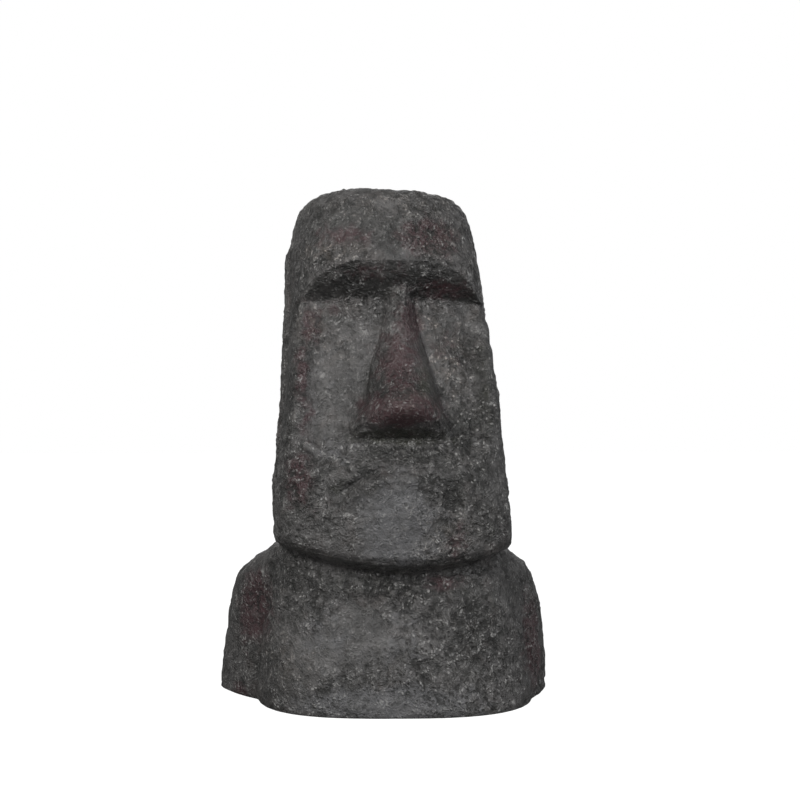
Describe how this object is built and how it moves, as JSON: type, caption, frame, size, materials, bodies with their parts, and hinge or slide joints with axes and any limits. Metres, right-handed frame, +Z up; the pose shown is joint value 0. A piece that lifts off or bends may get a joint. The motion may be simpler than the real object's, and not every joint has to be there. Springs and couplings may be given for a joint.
{
  "type": "moai head statue",
  "caption": "Moai head-and-shoulders statue: tall slab head with a heavy brow, broad nose, down-turned mouth and square jaw on a flat-bottomed bust with stub arms.",
  "frame": {"origin": "centre of the bounding box on the flat underside", "axes": "+Z up through the head, the face looks along -Y, +X to the viewer's right"},
  "size_m": [0.4022, 0.2588, 0.6044],
  "materials": {
    "cast_stone": "matt to dull satin dark charcoal stone-look casting with a coarse stippled skin"
  },
  "bodies": {
    "root": {"moai_bust": "cast_stone"}
  },
  "joints": []
}
